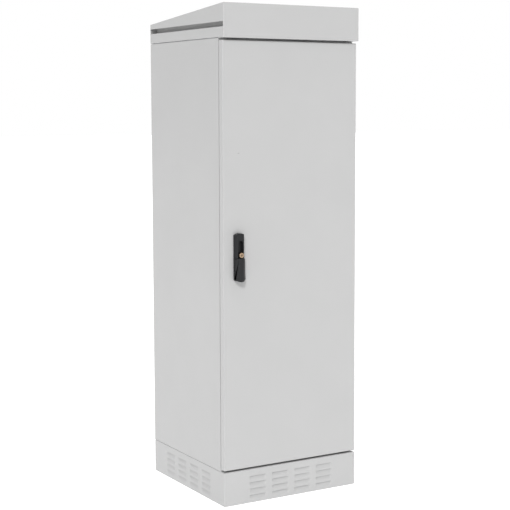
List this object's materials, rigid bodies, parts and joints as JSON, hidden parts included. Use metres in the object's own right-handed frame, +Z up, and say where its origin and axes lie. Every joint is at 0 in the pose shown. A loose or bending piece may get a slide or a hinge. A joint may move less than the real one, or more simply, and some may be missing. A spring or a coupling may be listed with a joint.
{
  "type": "roadside utility cabinet",
  "caption": "Free-standing sheet-steel outdoor cabinet with a louvred plinth, sloping hood, one overlapping door with a swing handle, and rack rails inside.",
  "frame": {"origin": "middle of the plinth's footprint on the ground, at the centre of the anchor-hole pattern", "axes": "+Z up, the door faces -Y, the door's hinges are on the +X side"},
  "size_m": [0.602, 0.629, 1.9],
  "materials": {
    "painted_sheet": "light grey powder coat, fine texture",
    "zinc_steel": "zinc-plated steel",
    "handle_black": "black moulded polyamide, satin",
    "lock_brass": "turned brass, satin",
    "rubber": "black foam and edge rubber",
    "earth_copper": "bare copper bar"
  },
  "bodies": {
    "cabinet": {"plinth": "painted_sheet", "plinth_bolts": "zinc_steel", "base_frame": "zinc_steel", "front_frame": "painted_sheet", "rear_post_left": "zinc_steel", "rear_post_right": "zinc_steel", "top_frame": "zinc_steel", "side_panel_left": "painted_sheet", "side_panel_right": "painted_sheet", "rear_panel": "painted_sheet", "floor_plate": "zinc_steel", "gland_plate": "zinc_steel", "gland_screws": "zinc_steel", "cable_grommet": "rubber", "roof_deck": "zinc_steel", "roof_brackets": "zinc_steel", "roof_bolts": "zinc_steel", "roof_hood": "painted_sheet", "brace_lower_left": "zinc_steel", "brace_lower_right": "zinc_steel", "brace_upper_left": "zinc_steel", "brace_upper_right": "zinc_steel", "rail_front_left": "zinc_steel", "rail_front_right": "zinc_steel", "rail_rear_left": "zinc_steel", "rail_rear_right": "zinc_steel", "rack_screws": "zinc_steel", "earth_bar": "earth_copper", "earth_screws": "zinc_steel", "keeper_upper": "zinc_steel", "keeper_lower": "zinc_steel", "hinge_leaf_lower": "zinc_steel", "hinge_leaf_middle": "zinc_steel", "hinge_leaf_upper": "zinc_steel"},
    "door": {"door_panel": "painted_sheet", "door_stiffener_left": "painted_sheet", "door_stiffener_right": "painted_sheet", "door_seal": "rubber", "door_leaf_lower": "zinc_steel", "door_leaf_middle": "zinc_steel", "door_leaf_upper": "zinc_steel", "hinge_pin_lower": "zinc_steel", "hinge_pin_middle": "zinc_steel", "hinge_pin_upper": "zinc_steel", "rod_guides": "zinc_steel", "handle_seal": "rubber", "handle_housing": "handle_black", "handle_plate": "zinc_steel", "handle_screws": "zinc_steel", "lock_body": "lock_brass"},
    "handle": {"spindle": "zinc_steel", "lock_cam": "zinc_steel", "cam_nut": "zinc_steel"},
    "lever": {"lever": "handle_black", "lever_pin": "zinc_steel"},
    "lock": {"lock_plug": "lock_brass"},
    "rod_up": {"rod_upper": "zinc_steel"},
    "rod_down": {"rod_lower": "zinc_steel"}
  },
  "joints": [
    {"name": "door_hinge", "type": "hinge", "parent": "cabinet", "child": "door", "pos_m": [0.293, -0.286, 0.952], "axis": [0, 0, 1], "range_deg": [0, 120]},
    {"name": "handle_turn", "type": "hinge", "parent": "door", "child": "handle", "pos_m": [-0.235, -0.308, 0.885], "axis": [0, 1, 0], "range_deg": [0, 90]},
    {"name": "lever_tilt", "type": "hinge", "parent": "handle", "child": "lever", "pos_m": [-0.235, -0.315, 0.885], "axis": [1, 0, 0], "range_deg": [0, 25]},
    {"name": "lock_turn", "type": "hinge", "parent": "door", "child": "lock", "pos_m": [-0.235, -0.3, 0.9655], "axis": [0, 1, 0], "range_deg": [0, 90]},
    {"name": "rod_up_slide", "type": "slide", "parent": "door", "child": "rod_up", "axis": [0, 0, 1], "range_m": [-0.0201, 0]},
    {"name": "rod_down_slide", "type": "slide", "parent": "door", "child": "rod_down", "axis": [0, 0, 1], "range_m": [0, 0.0201]}
  ],
  "couplings": [
    {"joint": "rod_up_slide", "follows": "handle_turn", "m_per_rad": -0.012732},
    {"joint": "rod_down_slide", "follows": "handle_turn", "m_per_rad": 0.012732}
  ]
}
